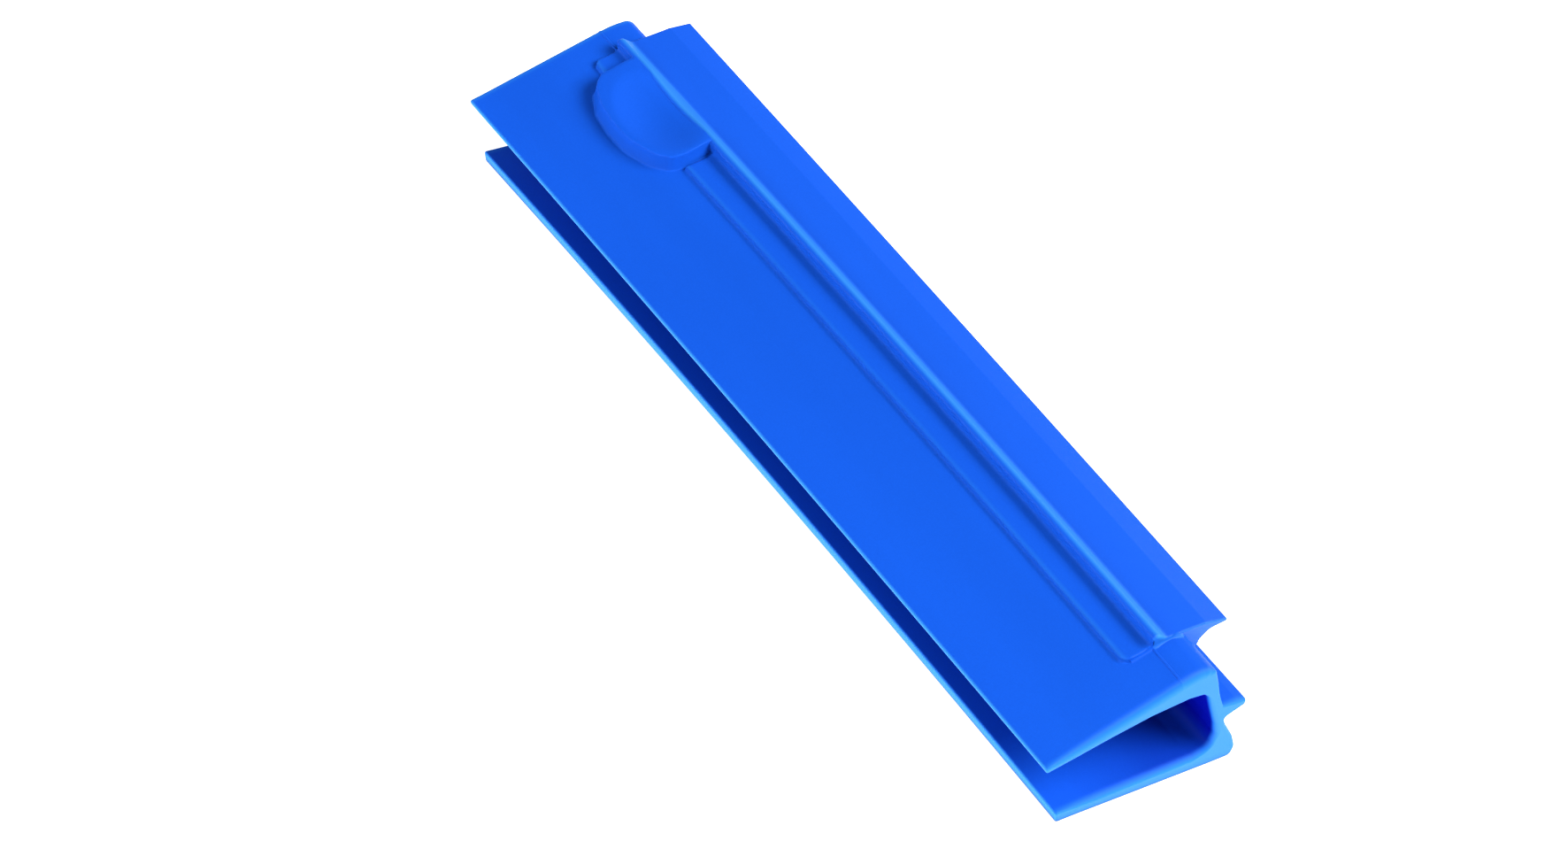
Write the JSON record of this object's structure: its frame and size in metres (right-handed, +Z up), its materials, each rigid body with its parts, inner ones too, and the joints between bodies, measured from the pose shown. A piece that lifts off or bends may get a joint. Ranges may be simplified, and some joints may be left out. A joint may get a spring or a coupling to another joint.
{
  "type": "bag clip",
  "caption": "Long moulded bag clip: C-shaped jaws joined by a flexible spine, with a ridged squeeze rail, a rear rib and a dished thumb grip at one end.",
  "frame": {"origin": "middle of the resting footprint, on the flat underside of the lower jaw", "axes": "+X along the clip, away from the thumb grip; -Y towards the open jaw tips; +Z up, with the clip lying on its lower jaw"},
  "size_m": [0.2, 0.0564, 0.0341],
  "materials": {
    "blue_plastic": "satin moulded"
  },
  "bodies": {
    "lower_jaw": {"lower_jaw": "blue_plastic", "rear_rib": "blue_plastic", "spine_web": "blue_plastic"},
    "upper_jaw": {"back_bar": "blue_plastic", "upper_jaw": "blue_plastic", "grip_rail": "blue_plastic", "foot_strip": "blue_plastic", "strip_tab": "blue_plastic", "thumb_grip": "blue_plastic"}
  },
  "joints": [
    {"name": "jaw_hinge", "type": "hinge", "parent": "lower_jaw", "child": "upper_jaw", "pos_m": [0, 0.0147, 0.0213], "axis": [-1, 0, 0], "range_deg": [-20, 12], "stiffness_Nm_per_rad": 1, "deforming": ["spine_web"]}
  ]
}
